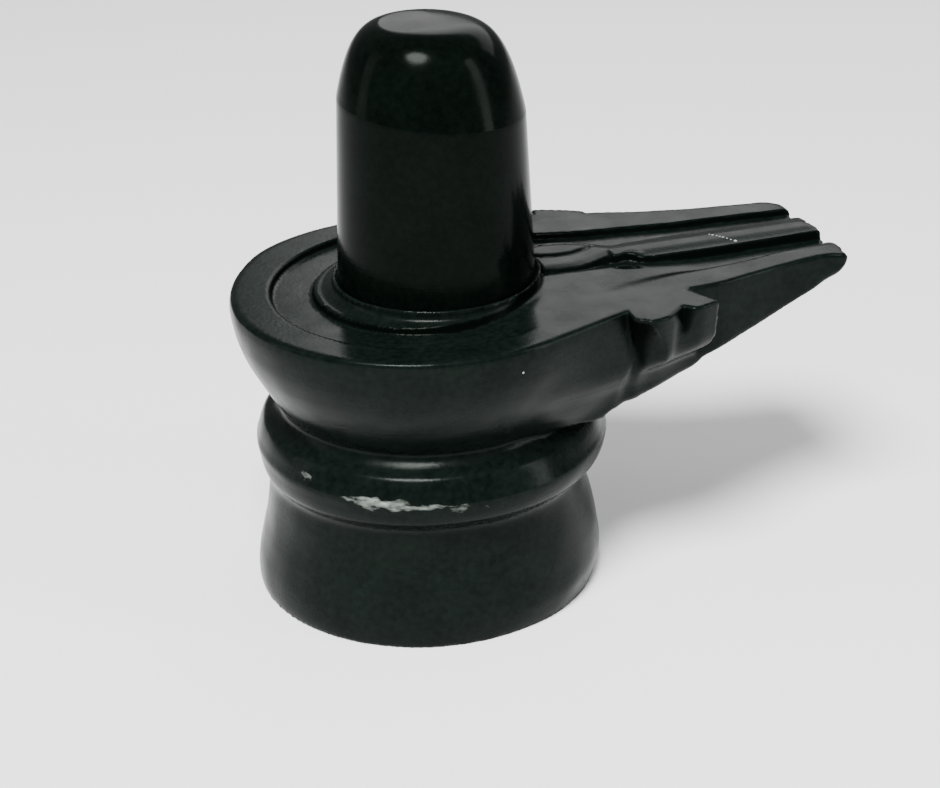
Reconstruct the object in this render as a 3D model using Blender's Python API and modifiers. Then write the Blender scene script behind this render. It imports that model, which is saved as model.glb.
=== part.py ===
"""A household shiva lingam of dark polished stone: a domed shaft seated in a round base with a carved spout.

Frame: +Z up, origin at the centre of the underside, spout along +X.
"""
import math

import bmesh
import bpy
from mathutils import Matrix, Vector

MM = 0.001
COLLECTION = "shiva_lingam"
CUTTERS = "shiva_lingam_cutters"

# Lingam, the upright shaft
TOTAL_HEIGHT = 100.0 * MM
SHAFT_FOOT_RADIUS = 16.8 * MM
SHAFT_HEAD_RADIUS = 15.6 * MM
DOME_HEIGHT = 13.8 * MM
DOME_POWER = 5.4
SHAFT_OVER = 2.1 * MM
SHAFT_ASIDE = -0.6 * MM
SEAT_CLEARANCE = 0.3 * MM
SEAT_DEPTH = 5.0 * MM

# Foot, belly and neck of the base
FOOT_RADIUS = 29.6 * MM
BELLY_RADIUS = 30.7 * MM
BELLY_HEIGHT = 4.3 * MM
NECK_RADIUS = 27.5 * MM
NECK_HEIGHT = 20.7 * MM
FOOT_CHAMFER = 0.6 * MM

# Waist ring
RING_RADIUS = 30.4 * MM
RING_LIP = 2.2 * MM
RING_ARRIS_HEIGHT = 27.6 * MM
RING_TOP_RADIUS = 27.0 * MM
RING_TOP_HEIGHT = 32.8 * MM

# Bowl and rim
CREASE_RADIUS = 25.7 * MM
CREASE_HEIGHT = 34.3 * MM
RIM_RADIUS = 33.3 * MM
RIM_HEIGHT = 54.2 * MM
RIM_EDGE = 0.6 * MM
RIM_BAND = 5.9 * MM
RECESS_DEPTH = 1.2 * MM
COLLAR_WIDTH = 2.5 * MM
BEAD_WIDTH = 0.9 * MM
BEAD_HEIGHT = 2.6 * MM

# Spout
SPOUT_LENGTH = 72.4 * MM
SPOUT_ROOT_HALF = 19.8 * MM
SPOUT_ROOT_TAPER = 0.25
SPOUT_TIP_HALF = 13.8 * MM
SPOUT_TIP_THICKNESS = 3.4 * MM
SPOUT_TIP_ROUND = 2.4 * MM
SPOUT_EDGE = 0.9 * MM
SPOUT_UNDER_SLOPE = 0.307
SPOUT_ROOT_STEP = 0.5 * MM
CHANNEL_DEPTH = 1.5 * MM
CHANNEL_TIP_HALF = 8.5 * MM
CHANNEL_ROOT_HALF = 12.0 * MM
CHANNEL_FLARE = 2.0 * MM
CHANNEL_FLARE_SHARE = 0.12
RIDGE_HALF = 3.9 * MM
RIDGE_RISE = 0.6 * MM
RIDGE_HEAD_HALF = 5.7 * MM
RIDGE_HEAD_LENGTH = 12.5 * MM
RIDGE_HEAD_RISE = 1.1 * MM
RIDGE_HEAD_GAP = 0.7 * MM

# Shoulders and ears, where the rim meets the spout
SHOULDER_X = 29.9 * MM
SHOULDER_HALF = 22.9 * MM
NEAR_EAR_START = 27.8 * MM
NEAR_EAR_LENGTH = 16.1 * MM
NEAR_EAR_HALF = 28.7 * MM
FAR_EAR_START = 28.7 * MM
FAR_EAR_LENGTH = 8.4 * MM
FAR_EAR_HALF = 25.8 * MM
EAR_BEVEL_RISE = 7.0 * MM

# Fineness of the faceting
ROUND_STEPS = 72
BOWL_RINGS = 9
BELLY_RINGS = 7
DOME_RINGS = 9
SPOUT_STATIONS = 10
OVERLAP = 1.0 * MM
MERGE = 1e-6

STONE_BASE = (0.030, 0.042, 0.038, 1.0)
STONE_SHAFT = (0.018, 0.026, 0.022, 1.0)

floor_height = RIM_HEIGHT - RECESS_DEPTH
channel_floor = RIM_HEIGHT - CHANNEL_DEPTH
recess_radius = RIM_RADIUS - RIM_BAND
socket_radius = SHAFT_FOOT_RADIUS + SEAT_CLEARANCE
collar_radius = SHAFT_FOOT_RADIUS + COLLAR_WIDTH
seat_floor = RIM_HEIGHT - SEAT_DEPTH
shaft_bottom = seat_floor + SEAT_CLEARANCE
shaft_axis = Vector((SHAFT_OVER, SHAFT_ASIDE, 0.0))
ridge_start = SHAFT_OVER + socket_radius + BEAD_WIDTH + RIDGE_HEAD_GAP
ridge_end = SPOUT_LENGTH - 0.5 * SPOUT_TIP_ROUND
shoulder_radius = math.hypot(SHOULDER_X, SHOULDER_HALF)
shoulder_angle = math.atan2(SHOULDER_HALF, SHOULDER_X)
tangent_angle = shoulder_angle + math.acos(min(1.0, RIM_RADIUS / shoulder_radius))


def clear_scene():
    for obj in list(bpy.data.objects):
        bpy.data.objects.remove(obj, do_unlink=True)


def new_collection(name):
    group = bpy.data.collections.new(name)
    bpy.context.scene.collection.children.link(group)
    return group


def stone(name, colour, roughness):
    material = bpy.data.materials.new(name)
    material.use_nodes = True
    shader = material.node_tree.nodes["Principled BSDF"]
    shader.inputs["Base Color"].default_value = colour
    shader.inputs["Roughness"].default_value = roughness
    shader.inputs["Metallic"].default_value = 0.0
    return material


def add_object(name, mesh, group):
    obj = bpy.data.objects.new(name, mesh)
    group.objects.link(obj)
    return obj


def smooth(obj, material):
    obj.data.materials.append(material)
    obj.data.shade_smooth()
    obj.data.set_sharp_from_angle(angle=math.radians(35.0))


def as_cutter(obj):
    obj.hide_render = True
    obj.display_type = "WIRE"
    return obj


def turned(name, profile, group):
    """A closed turned solid. The profile holds (radius, height) points from the top centre to the bottom centre."""
    mesh = bpy.data.meshes.new(name)
    points = [(radius, 0.0, height) for radius, height in profile]
    mesh.from_pydata(points, [(i, i + 1) for i in range(len(points) - 1)], [])
    obj = add_object(name, mesh, group)
    screw = obj.modifiers.new("turn", "SCREW")
    screw.axis = "Z"
    screw.angle = 2.0 * math.pi
    screw.steps = ROUND_STEPS
    screw.render_steps = ROUND_STEPS
    screw.use_merge_vertices = True
    screw.merge_threshold = MERGE
    return obj


def loft(name, rings, group):
    """A closed solid through rings of equally many points, each ring counter-clockwise seen from its far end."""
    mesh = bpy.data.meshes.new(name)
    form = bmesh.new()
    rows = [[form.verts.new(point) for point in ring] for ring in rings]
    for low, high in zip(rows, rows[1:]):
        for i in range(len(low)):
            j = (i + 1) % len(low)
            form.faces.new((low[i], low[j], high[j], high[i]))
    form.faces.new(reversed(rows[0]))
    form.faces.new(rows[-1])
    bmesh.ops.recalc_face_normals(form, faces=form.faces)
    form.to_mesh(mesh)
    form.free()
    return add_object(name, mesh, group)


def prism(name, outline, low, high, group):
    """A flat outline raised from one height to another."""
    mesh = bpy.data.meshes.new(name)
    form = bmesh.new()
    bottom = form.faces.new([form.verts.new((x, y, low)) for x, y in outline])
    raised = bmesh.ops.extrude_face_region(form, geom=[bottom])
    top = [item for item in raised["geom"] if isinstance(item, bmesh.types.BMVert)]
    bmesh.ops.translate(form, verts=top, vec=(0.0, 0.0, high - low))
    bmesh.ops.recalc_face_normals(form, faces=form.faces)
    form.to_mesh(mesh)
    form.free()
    return add_object(name, mesh, group)


def cylinder(name, radius, low, high, centre, group):
    mesh = bpy.data.meshes.new(name)
    form = bmesh.new()
    bmesh.ops.create_cone(
        form, cap_ends=True, segments=ROUND_STEPS, radius1=radius, radius2=radius, depth=high - low,
        matrix=Matrix.Translation((centre.x, centre.y, 0.5 * (low + high))))
    form.to_mesh(mesh)
    form.free()
    return add_object(name, mesh, group)


def combine(obj, other, operation):
    boolean = obj.modifiers.new(other.name, "BOOLEAN")
    boolean.operation = operation
    boolean.solver = "EXACT"
    boolean.object = as_cutter(other)


def lingam_profile():
    """Top centre to bottom centre: a flat-topped dome, a shaft that widens a little, and a flat foot."""
    shoulder = TOTAL_HEIGHT - DOME_HEIGHT
    points = [(0.0, TOTAL_HEIGHT)]
    for i in range(1, DOME_RINGS + 1):
        share = math.sin(0.5 * math.pi * i / DOME_RINGS) ** 0.8
        points.append((SHAFT_HEAD_RADIUS * share, TOTAL_HEIGHT - DOME_HEIGHT * share ** DOME_POWER))
    middle = 0.5 * (shoulder + RIM_HEIGHT)
    points.append((0.5 * (SHAFT_HEAD_RADIUS + SHAFT_FOOT_RADIUS), middle))
    points.append((SHAFT_FOOT_RADIUS, RIM_HEIGHT))
    points.append((SHAFT_FOOT_RADIUS, shaft_bottom))
    points.append((0.0, shaft_bottom))
    return points


def pedestal_profile():
    """Foot, belly, neck and waist ring, from the top centre inside the bowl down to the underside's centre."""
    inside = CREASE_RADIUS - (RING_TOP_RADIUS - CREASE_RADIUS)
    above = CREASE_HEIGHT + (CREASE_HEIGHT - RING_TOP_HEIGHT)
    points = [(0.0, above), (inside, above), (RING_TOP_RADIUS, RING_TOP_HEIGHT)]
    rise = RING_TOP_HEIGHT - RING_ARRIS_HEIGHT
    points.append((RING_TOP_RADIUS + 0.62 * (RING_RADIUS - RING_TOP_RADIUS), RING_TOP_HEIGHT - 0.30 * rise))
    points.append((RING_TOP_RADIUS + 0.86 * (RING_RADIUS - RING_TOP_RADIUS), RING_TOP_HEIGHT - 0.65 * rise))
    points.append((RING_RADIUS, RING_ARRIS_HEIGHT))
    points.append((RING_RADIUS, 0.5 * (RING_ARRIS_HEIGHT + NECK_HEIGHT + RING_LIP)))
    points.append((RING_RADIUS - 0.2 * (RING_RADIUS - NECK_RADIUS), NECK_HEIGHT + RING_LIP))
    points.append((NECK_RADIUS, NECK_HEIGHT))
    for i in range(1, BELLY_RINGS):
        share = i / BELLY_RINGS
        swell = 0.5 - 0.5 * math.cos(math.pi * share)
        height = NECK_HEIGHT + (BELLY_HEIGHT - NECK_HEIGHT) * share
        points.append((NECK_RADIUS + (BELLY_RADIUS - NECK_RADIUS) * swell, height))
    points.append((BELLY_RADIUS, BELLY_HEIGHT))
    points.append((FOOT_RADIUS + 0.7 * (BELLY_RADIUS - FOOT_RADIUS), 0.45 * BELLY_HEIGHT))
    points.append((FOOT_RADIUS, FOOT_CHAMFER))
    points.append((FOOT_RADIUS - FOOT_CHAMFER, 0.0))
    points.append((0.0, 0.0))
    return points


def plan_radius(angle):
    """The rim's distance from the axis: round, and straight along the two shoulders that run to the ears."""
    turn = abs(angle)
    if turn >= tangent_angle:
        return RIM_RADIUS
    if turn <= shoulder_angle:
        return shoulder_radius
    return RIM_RADIUS / math.cos(tangent_angle - turn)


def bowl_rings():
    """Rings from the crease up to the rim. Each is the rim's plan, drawn in by the bowl's curve."""
    belly_top = RIM_HEIGHT - RIM_EDGE
    levels = [(CREASE_HEIGHT - OVERLAP, -OVERLAP / (RIM_RADIUS - CREASE_RADIUS), 0.0)]
    for i in range(1, BOWL_RINGS + 1):
        share = i / BOWL_RINGS
        height = CREASE_HEIGHT + (belly_top - CREASE_HEIGHT) * share
        levels.append((height, math.sin(0.5 * math.pi * share), 0.0))
    levels.append((RIM_HEIGHT - 0.3 * RIM_EDGE, 1.0, 0.3 * RIM_EDGE))
    levels.append((RIM_HEIGHT, 1.0, RIM_EDGE))
    levels.append((RIM_HEIGHT + OVERLAP, 1.0, RIM_EDGE))
    rings = []
    for height, spread, inset in levels:
        ring = []
        for i in range(ROUND_STEPS):
            angle = 2.0 * math.pi * i / ROUND_STEPS - math.pi
            radius = CREASE_RADIUS + (plan_radius(angle) - CREASE_RADIUS) * spread - inset
            ring.append((radius * math.cos(angle), radius * math.sin(angle), height))
        rings.append(ring)
    return rings


def spout_half(x):
    """Half the spout's width, narrowing in a straight line to the tip and drawn in under the bowl."""
    share = (x - RIM_RADIUS) / (SPOUT_LENGTH - RIM_RADIUS)
    outside = SPOUT_ROOT_HALF + (SPOUT_TIP_HALF - SPOUT_ROOT_HALF) * share
    inside = SPOUT_ROOT_HALF - SPOUT_ROOT_TAPER * max(0.0, CREASE_RADIUS - x)
    return min(outside, inside)


def spout_under(x):
    """Height of the spout's underside: straight from the crease, then curling up to the thin tip."""
    root = CREASE_HEIGHT + SPOUT_ROOT_STEP
    straight = root + SPOUT_UNDER_SLOPE * (x - CREASE_RADIUS)
    tip = RIM_HEIGHT - SPOUT_TIP_THICKNESS
    at_tip = root + SPOUT_UNDER_SLOPE * (SPOUT_LENGTH - CREASE_RADIUS)
    start = 0.5 * (CREASE_RADIUS + SPOUT_LENGTH)
    share = max(0.0, (x - start) / (SPOUT_LENGTH - start))
    return straight + (tip - at_tip) * share * share


def spout_rings():
    """Cross-sections from inside the bowl to the tip, with rounded upper edges and a rounded end."""
    start = 0.5 * CREASE_RADIUS
    full = SPOUT_LENGTH - SPOUT_TIP_ROUND
    stations = [start + (full - start) * i / SPOUT_STATIONS for i in range(SPOUT_STATIONS + 1)]
    rings = [spout_section(x, spout_half(x)) for x in stations]
    for angle in (30.0, 60.0, 90.0):
        turn = math.radians(angle)
        x = full + SPOUT_TIP_ROUND * math.sin(turn)
        rings.append(spout_section(x, spout_half(full) - SPOUT_TIP_ROUND * (1.0 - math.cos(turn))))
    return rings


def spout_section(x, half):
    low = spout_under(x)
    edge = min(SPOUT_EDGE, 0.4 * (RIM_HEIGHT - low))
    side = [
        (half - edge, low), (half, low + edge), (half, RIM_HEIGHT - edge),
        (half - 0.3 * edge, RIM_HEIGHT - 0.3 * edge), (half - edge, RIM_HEIGHT),
        (half - edge, RIM_HEIGHT + 1.5 * OVERLAP)]
    other = [(-y, z) for y, z in reversed(side)]
    return [(x, y, z) for y, z in side + other]


def ear_outline(start, length, half, side):
    """One ear seen from above: from the shoulder round a lobe, a small cusp and a pointed corner to the spout."""
    root = start + length
    spout_side = spout_half(root)
    inner = 0.6 * spout_side
    reach = half - spout_side
    shares = [
        (0.00, 0.82), (0.14, 1.00), (0.28, 0.99), (0.42, 0.90), (0.59, 0.62),
        (0.67, 0.73), (0.78, 0.75), (1.00, 0.66), (0.90, 0.35)]
    lobes = [(start + length * along, spout_side + reach * out) for along, out in shares]
    waist = start + 0.79 * length
    points = [(start, inner)] + lobes + [(waist, spout_side - OVERLAP), (waist, inner)]
    return [(x, side * y) for x, y in points]


def ear_underside_cutter(start, length, side, group):
    """A block under one ear. Its slanted top bevels the ear from its face down to the spout's lower edge."""
    outer = max(NEAR_EAR_HALF, FAR_EAR_HALF) + 4.0 * OVERLAP
    rings = []
    for x in (start - 4.0 * OVERLAP, start + length + 4.0 * OVERLAP):
        hinge = spout_half(x) - 0.5 * SPOUT_EDGE
        low = spout_under(x) + SPOUT_EDGE
        top = low + EAR_BEVEL_RISE * (outer - hinge) / (NEAR_EAR_HALF - SPOUT_ROOT_HALF)
        section = [(0.0, low), (hinge, low), (outer, top), (outer, 0.0), (0.0, 0.0)]
        rings.append([(x, side * y, z) for y, z in section])
    return loft("bevel_cut", rings, group)


def make_ear(name, start, length, half, side, group):
    bottom = CREASE_HEIGHT - 5.0 * OVERLAP
    ear = prism(name, ear_outline(start, length, half, side), bottom, RIM_HEIGHT + 0.5 * OVERLAP, group)
    combine(ear, ear_underside_cutter(start, length, side, group), "DIFFERENCE")
    return ear


def channel_half(x):
    """Half the width between the two rims of the spout, flaring where it opens from the recess."""
    share = (x - RIM_RADIUS) / (SPOUT_LENGTH - RIM_RADIUS)
    flare = CHANNEL_FLARE * math.exp(-(x - recess_radius) / (CHANNEL_FLARE_SHARE * SPOUT_LENGTH))
    return CHANNEL_ROOT_HALF + (CHANNEL_TIP_HALF - CHANNEL_ROOT_HALF) * share + flare


def channel_outline():
    start = math.sqrt(recess_radius ** 2 - channel_half(0.8 * recess_radius) ** 2) - OVERLAP
    end = SPOUT_LENGTH + OVERLAP
    stations = [start + (end - start) * i / SPOUT_STATIONS for i in range(SPOUT_STATIONS + 1)]
    right = [(x, -channel_half(x)) for x in stations]
    left = [(x, channel_half(x)) for x in reversed(stations)]
    return right + left


def ridge_shape(x):
    """Half width and crest height of the middle ridge: a leaf-shaped head, a neck, then an even ridge."""
    head = (x - ridge_start) / RIDGE_HEAD_LENGTH
    neck = 0.72 * RIDGE_HALF
    if head < 1.0:
        bulge = math.sin(math.pi * min(1.0, max(0.0, head)) ** 0.75) ** 0.7
        half = neck * max(0.0, head) ** 0.4 + (RIDGE_HEAD_HALF - neck) * bulge
        return half, RIM_HEIGHT + RIDGE_RISE * head + (RIDGE_HEAD_RISE - RIDGE_RISE * head) * bulge
    swell = min(1.0, (head - 1.0) * 2.0)
    taper = 1.0 - 0.15 * (x - ridge_start) / (ridge_end - ridge_start)
    return (neck + (RIDGE_HALF - neck) * swell) * taper, RIM_HEIGHT + RIDGE_RISE


def ridge_rings():
    head_end = ridge_start + RIDGE_HEAD_LENGTH
    heads = (0.02, 0.08, 0.2, 0.35, 0.5, 0.65, 0.8, 0.92)
    stations = [ridge_start + RIDGE_HEAD_LENGTH * share for share in heads]
    stations += [head_end + (ridge_end - head_end) * share for share in (0.0, 0.2, 0.5, 0.8, 1.0)]
    rings = []
    for x in stations:
        half, crest = ridge_shape(x)
        low = channel_floor - OVERLAP
        edge = 0.35 * min(half, crest - channel_floor)
        rings.append([
            (x, half, low), (x, half, crest - 1.6 * edge), (x, half - 0.5 * edge, crest - 0.7 * edge),
            (x, 0.45 * half, crest), (x, -0.45 * half, crest),
            (x, -half + 0.5 * edge, crest - 0.7 * edge), (x, -half, crest - 1.6 * edge), (x, -half, low)])
    return rings


def seat_profile():
    """The collar and the bead of stone round the shaft's foot, as a solid disc that the socket then opens."""
    bead_foot = socket_radius + BEAD_WIDTH
    top = RIM_HEIGHT + BEAD_HEIGHT
    return [
        (0.0, top), (socket_radius + 0.4 * BEAD_WIDTH, top),
        (socket_radius + 0.8 * BEAD_WIDTH, top - 0.35 * BEAD_HEIGHT), (bead_foot, RIM_HEIGHT + 0.15 * BEAD_HEIGHT),
        (bead_foot, floor_height - OVERLAP), (0.0, floor_height - OVERLAP)]


def make_lingam(group):
    obj = turned("lingam", lingam_profile(), group)
    obj.location = shaft_axis
    smooth(obj, stone("black_stone_shaft", STONE_SHAFT, 0.28))
    return obj


def make_base(group, cutters):
    obj = turned("yoni_base", pedestal_profile(), group)
    combine(obj, loft("bowl", bowl_rings(), cutters), "UNION")
    combine(obj, loft("spout", spout_rings(), cutters), "UNION")
    near_ear = make_ear("near_ear", NEAR_EAR_START, NEAR_EAR_LENGTH, NEAR_EAR_HALF, -1.0, cutters)
    combine(obj, near_ear, "UNION")
    far_ear = make_ear("far_ear", FAR_EAR_START, FAR_EAR_LENGTH, FAR_EAR_HALF, 1.0, cutters)
    combine(obj, far_ear, "UNION")
    above = RIM_HEIGHT + 2.0 * OVERLAP
    middle = Vector((0.0, 0.0, 0.0))
    combine(obj, cylinder("level_cut", SPOUT_LENGTH + OVERLAP, RIM_HEIGHT, above, middle, cutters), "DIFFERENCE")
    combine(obj, cylinder("recess_cut", recess_radius, floor_height, above, middle, cutters), "DIFFERENCE")
    combine(obj, prism("channel_cut", channel_outline(), channel_floor, above, cutters), "DIFFERENCE")
    collar_low = floor_height - OVERLAP
    combine(obj, cylinder("collar", collar_radius, collar_low, RIM_HEIGHT, middle, cutters), "UNION")
    seat = turned("seat", seat_profile(), cutters)
    seat.location = shaft_axis
    combine(obj, seat, "UNION")
    combine(obj, loft("ridge", ridge_rings(), cutters), "UNION")
    socket_top = RIM_HEIGHT + BEAD_HEIGHT + OVERLAP
    combine(obj, cylinder("socket_cut", socket_radius, seat_floor, socket_top, shaft_axis, cutters), "DIFFERENCE")
    smooth(obj, stone("black_stone_base", STONE_BASE, 0.35))
    return obj


def main():
    clear_scene()
    group = new_collection(COLLECTION)
    cutters = new_collection(CUTTERS)
    make_lingam(group)
    make_base(group, cutters)


main()
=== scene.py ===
"""Looks of a household shiva lingam: dark polished stone, carved by hand, on a pale floor.

Sizes are in millimetres unless a line says otherwise. The origin is on the underside, +X runs along the spout,
and the camera stands on the near side, towards -Y.
"""
import math

import bpy
import numpy as np
from mathutils import Matrix, Vector


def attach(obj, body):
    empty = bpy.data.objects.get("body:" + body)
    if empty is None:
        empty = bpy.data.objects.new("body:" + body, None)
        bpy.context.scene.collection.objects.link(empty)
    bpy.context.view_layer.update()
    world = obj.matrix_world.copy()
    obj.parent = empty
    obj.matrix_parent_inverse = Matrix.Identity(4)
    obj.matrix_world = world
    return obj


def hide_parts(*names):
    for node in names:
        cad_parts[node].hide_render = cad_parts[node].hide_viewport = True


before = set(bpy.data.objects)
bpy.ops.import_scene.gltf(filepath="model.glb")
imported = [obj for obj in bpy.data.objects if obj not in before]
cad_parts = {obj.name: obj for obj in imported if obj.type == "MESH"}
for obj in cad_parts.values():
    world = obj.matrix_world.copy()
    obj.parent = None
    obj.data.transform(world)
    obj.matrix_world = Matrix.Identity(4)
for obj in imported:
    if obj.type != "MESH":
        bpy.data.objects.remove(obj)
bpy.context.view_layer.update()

MM = 0.001

# View, fitted to the photo: focal length in pixels, angles in degrees
FOCAL_PIXELS = 2200.0
IMAGE_WIDTH = 940.0
CAMERA_TURN = 16.64
CAMERA_RISE = 25.88
CAMERA_ROLL = 1.78
CAMERA_DISTANCE = 398.6
CAMERA_RIGHT = -6.34
CAMERA_UP = -29.75
SENSOR_WIDTH = 36.0

# Main heights and radii
RIM_HEIGHT = 54.2
RIM_RADIUS = 33.0
CREASE_HEIGHT = 34.3
CREASE_RADIUS = 25.6
TOTAL_HEIGHT = 100.0
SPOUT_TIP = 72.35
SHOULDER_X = 29.9

# Shaft and the socket that it stands in
SHAFT_CENTRE = (2.15, -0.56)
SHAFT_BOTTOM = 50.0
SHAFT_FOOT_HEIGHT = 57.0
SHAFT_FOOT_RADIUS = 16.75
SHAFT_HEAD_RADIUS = 15.56
SHAFT_TAPER_POWER = 1.15
SHAFT_LEAN = 0.25
SHAFT_LEAN_START = 56.0
SHAFT_WOBBLE = 0.05
SHAFT_SEGMENTS = 200
DOME_ROWS = 46
SIDE_ROWS = 40
DOME_DROP = 13.75
DOME_DROP_LEAN = 1.11
DOME_POWER = 5.55
DOME_POWER_LEAN = -0.4
DOME_TILT = 0.575
SOCKET_RADIUS = 16.4
SOCKET_FLOOR = 49.2

# Level top: recess and channels
RECESS_CENTRE = 0.7
RECESS_RADIUS = 26.8
FLOOR_DEPTH = 1.15
CUT_WALL = 0.45
CHANNEL_START = 14.0
CHANNEL_MERGE = 2.5
NEAR_WALL = 0.9
NEAR_WALL_SPREAD = 2.8
RIM_LIFT_NEAR_TIP = 0.45

# Collar and bead round the shaft's foot
COLLAR_CENTRE = (0.4, -0.1)
COLLAR_RADIUS = 19.3
COLLAR_LIFT = 0.05
COLLAR_SWELL = 0.6
BEAD_RADIUS = 17.75
BEAD_TOP = 56.7
BEAD_SLOPE = 0.9
BEAD_BOTTOM = 50.0

# Middle ridge with its leaf-shaped head, almond, knob and pit
RIDGE_START = 33.5
RIDGE_LIFT = 0.75
RIDGE_CROWN = 0.35
LEAF_LIFT = 0.35
LEAF_CROWN = 0.3
ALMOND_CROWN = 0.2
ALMOND_GROOVE = 0.34
KNOB_PLACE = (36.7, -2.2)
KNOB_SIZE = (2.0, 1.0)
KNOB_LIFT = 0.35
PIT_PLACE = (35.3, -5.0)
PIT_SIZE = (2.3, 0.55)
PIT_DEPTH = 0.9

# Base: hand-carved unevenness, and a fuller stretch of the rim at the back
BROAD_WOBBLE = 0.10
MIDDLE_WOBBLE = 0.05
TOP_WOBBLE = 0.04
BULGE = 0.8
BULGE_ANGLE = 130.0
BULGE_SPREAD = 17.0

# What turns an upright or sideways offset into a distance across a sloping surface
FOOT_SLOPE = 0.85
BOWL_SLOPE = 0.9
UNDER_SLOPE = 0.95
BEVEL_SLOPE = 0.6
TOP_SLOPE = 0.9

# Ears and the cuts that shape them
EAR_UNDERCUT = 0.18
EAR_INNER = 15.0
NEAR_EAR_START = 27.9
NEAR_EAR_END = 40.9
NEAR_EAR_END_SKEW = 0.47
FACET_POINT = (27.5, -27.0)
FACET_HOLLOW = 1.2
NOTCH_X = 37.3
NOTCH_Y = -24.8
EAR_FACE_HEIGHT = 12.0
FAR_EAR_START = 28.0
FAR_EAR_END = 37.0

# Grid that the base's surface is read on: stretches of each axis with their step
GRID_X = [(-33.6, -22.0, 0.64), (-22.0, 18.0, 0.62), (18.0, 46.0, 0.48), (46.0, 73.2, 0.54)]
GRID_Y = [(-33.6, -30.0, 0.60), (-30.0, 17.0, 0.50), (17.0, 33.6, 0.62)]
GRID_Z = [(-0.45, 1.2, 0.55), (1.2, 20.0, 0.8), (20.0, 36.5, 0.5), (36.5, 51.5, 0.62), (51.5, 57.6, 0.34)]

# Finish: the waist ring's bruise and the painted highlights at the shaft's joint, at angles in degrees from the
# camera's side
BRUISE_ANGLE = -4.0
BRUISE_SPREAD = 30.0
BRUISE_HEIGHT = 27.2
JOINT_RADIUS = 17.15
# Painted highlights along the shaft's joint, drawn as pale specks: angle in degrees and size
JOINT_GLINTS = ((-9, 0.2), (-4, 0.3), (-1, 0.22), (4, 0.3), (7, 0.26), (11, 0.2), (15, 0.32), (19, 0.2),
                (24, 0.28), (29, 0.2))
EAR_AND_RIM_CHIPS = [(27.7, -27.0, 54.2, 0.40), (30.1, -29.0, 54.0, 0.40), (16.8, -29.3, 54.2, 0.34)]
KNOB_CHIPS = [(32.2, -2.8, 54.6, 0.22), (33.0, -4.5, 54.2, 0.26), (40.5, -3.9, 54.8, 0.32)]
RIDGE_CHIPS = [
    (53.0, 1.1, 55.0, 0.20), (53.4, 0.6, 55.0, 0.26), (53.9, 0.0, 55.0, 0.18), (54.3, -0.5, 55.0, 0.22),
    (54.7, -1.0, 55.0, 0.26), (55.2, -1.6, 54.9, 0.18), (55.7, -2.2, 54.9, 0.24), (56.3, -2.8, 54.8, 0.34)]
BOWL_CHIPS = [(7.0, -31.9, 50.2, 0.22), (2.2, -31.8, 45.0, 0.30)]
# Pale colour of broken stone, also used for the painted highlights along the shaft's joint
CHIP_AND_GLINT_COLOUR = (0.30, 0.33, 0.30, 1.0)
# Painted shade for the recess and channel walls and the near ear's cuts
PAINTED_SHADE_COLOUR = (0.0008, 0.0016, 0.0012, 1.0)
STONE_TINT = (0.92, 1.0, 0.93, 1.0)
BUMP_DEPTH_M = 0.00012

# Stage, in metres and watts
FLOOR_REACH = 3.0
FLOOR_ALBEDO = 0.9
SKY_STRENGTH = 0.3
LIGHT_TARGET = (0.0, 0.0, 0.05)


def right_and_away():
    turn = math.radians(CAMERA_TURN)
    return np.array([math.cos(turn), -math.sin(turn)]), np.array([math.sin(turn), math.cos(turn)])


IMAGE_RIGHT, IMAGE_AWAY = right_and_away()


def smax(a, b, k):
    """The larger of two fields, with the edge between them rounded."""
    h = np.clip(0.5 + 0.5 * (a - b) / k, 0.0, 1.0)
    return b + (a - b) * h + k * h * (1.0 - h)


def smin(a, b, k):
    return -smax(-a, -b, k)


def rise(value, middle, width):
    """From 0 to 1 as the value passes the middle, smooth over the width."""
    t = np.clip((value - middle) / width + 0.5, 0.0, 1.0)
    return t * t * (3.0 - 2.0 * t)


def fall(value, middle, width):
    return rise(-value, -middle, width)


def bell(value):
    return np.exp(-value ** 2)


def plateau(value):
    return np.exp(-value ** 4)


def table(points, count=400):
    """A smooth curve through the points that doesn't overshoot them, as dense arrays."""
    px = np.array([p[0] for p in points], float)
    py = np.array([p[1] for p in points], float)
    slope = np.diff(py) / np.diff(px)
    tangent = np.zeros(len(px))
    tangent[0], tangent[-1] = slope[0], slope[-1]
    for i in range(1, len(px) - 1):
        if slope[i - 1] * slope[i] > 0.0:
            tangent[i] = 2.0 * slope[i - 1] * slope[i] / (slope[i - 1] + slope[i])
    xs = np.linspace(px[0], px[-1], count)
    i = np.clip(np.searchsorted(px, xs) - 1, 0, len(px) - 2)
    h = px[i + 1] - px[i]
    t = (xs - px[i]) / h
    ys = ((2 * t ** 3 - 3 * t ** 2 + 1) * py[i] + (t ** 3 - 2 * t ** 2 + t) * h * tangent[i]
          + (3 * t ** 2 - 2 * t ** 3) * py[i + 1] + (t ** 3 - t ** 2) * h * tangent[i + 1])
    return xs, ys


def read(curve, value):
    return np.interp(value, curve[0], curve[1])


def waves(seed, count, size):
    """Directions and phases of a smooth random field whose bumps are about the given size."""
    rng = np.random.default_rng(seed)
    direction = rng.normal(size=(count, 3))
    direction /= np.linalg.norm(direction, axis=1)[:, None]
    pace = 2.0 * math.pi / (size * rng.uniform(0.7, 1.6, count))
    return direction * pace[:, None], rng.uniform(0.0, 2.0 * math.pi, count)


def undulate(field, x, y, z):
    direction, phase = field
    total = 0.0
    for d, p in zip(direction, phase):
        total = total + np.sin(d[0] * x + d[1] * y + d[2] * z + p)
    return total / math.sqrt(0.5 * len(phase)) * 0.5


BROAD = waves(3, 7, 26.0)
MIDDLE = waves(5, 9, 9.0)

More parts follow.
